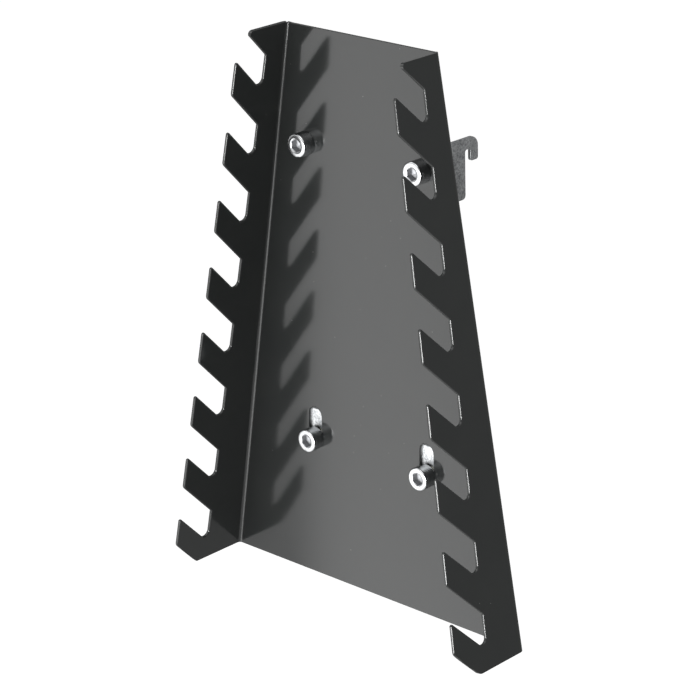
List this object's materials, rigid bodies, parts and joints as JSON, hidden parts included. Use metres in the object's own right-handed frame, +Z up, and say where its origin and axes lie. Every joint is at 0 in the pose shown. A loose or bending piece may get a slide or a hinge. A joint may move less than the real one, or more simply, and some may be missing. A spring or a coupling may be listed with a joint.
{
  "type": "hex key holder",
  "caption": "Tapered wall rack folded from one sheet, with slanted tool slots in both flanges, hung on a perforated panel by screwed-on hook brackets.",
  "frame": {"origin": "middle of the rack, on the face of the wall panel, at the underside of the upper hooks' arms", "axes": "+Z up, +Y into the wall, so the rack stands on the -Y side; +X to the right, seen from the front"},
  "size_m": [0.1662, 0.0605, 0.245],
  "materials": {
    "black_paint": "glossy black powder coat",
    "zinc_sheet": "satin zinc-plated sheet",
    "zinc_nut": "bright zinc plate",
    "zinc_screw": "bright zinc plate"
  },
  "bodies": {
    "rack": {"rack_body": "black_paint", "upper_left_bracket": "zinc_sheet", "upper_right_bracket": "zinc_sheet", "upper_left_nut": "zinc_nut", "upper_right_nut": "zinc_nut"},
    "lower_left_hook": {"lower_left_bracket": "zinc_sheet", "lower_left_nut": "zinc_nut"},
    "lower_right_hook": {"lower_right_bracket": "zinc_sheet", "lower_right_nut": "zinc_nut"},
    "upper_left_bolt": {"upper_left_screw": "zinc_screw"},
    "upper_right_bolt": {"upper_right_screw": "zinc_screw"},
    "lower_left_bolt": {"lower_left_screw": "zinc_screw"},
    "lower_right_bolt": {"lower_right_screw": "zinc_screw"}
  },
  "joints": [
    {"name": "lower_left_hook_height", "type": "slide", "parent": "rack", "child": "lower_left_hook", "axis": [0, 0, 1], "range_m": [0, 0.01]},
    {"name": "lower_right_hook_height", "type": "slide", "parent": "rack", "child": "lower_right_hook", "axis": [0, 0, 1], "range_m": [0, 0.01]},
    {"name": "upper_left_screw_turn", "type": "hinge", "parent": "rack", "child": "upper_left_bolt", "pos_m": [-0.03175, -0.0129, -0.0077], "axis": [0, -1, 0], "range_deg": [0, 720]},
    {"name": "upper_right_screw_turn", "type": "hinge", "parent": "rack", "child": "upper_right_bolt", "pos_m": [0.03175, -0.0129, -0.0077], "axis": [0, -1, 0], "range_deg": [0, 720]},
    {"name": "lower_left_screw_turn", "type": "hinge", "parent": "lower_left_hook", "child": "lower_left_bolt", "pos_m": [-0.03175, -0.0129, -0.1388], "axis": [0, -1, 0], "range_deg": [0, 720]},
    {"name": "lower_right_screw_turn", "type": "hinge", "parent": "lower_right_hook", "child": "lower_right_bolt", "pos_m": [0.03175, -0.0129, -0.1388], "axis": [0, -1, 0], "range_deg": [0, 720]}
  ]
}
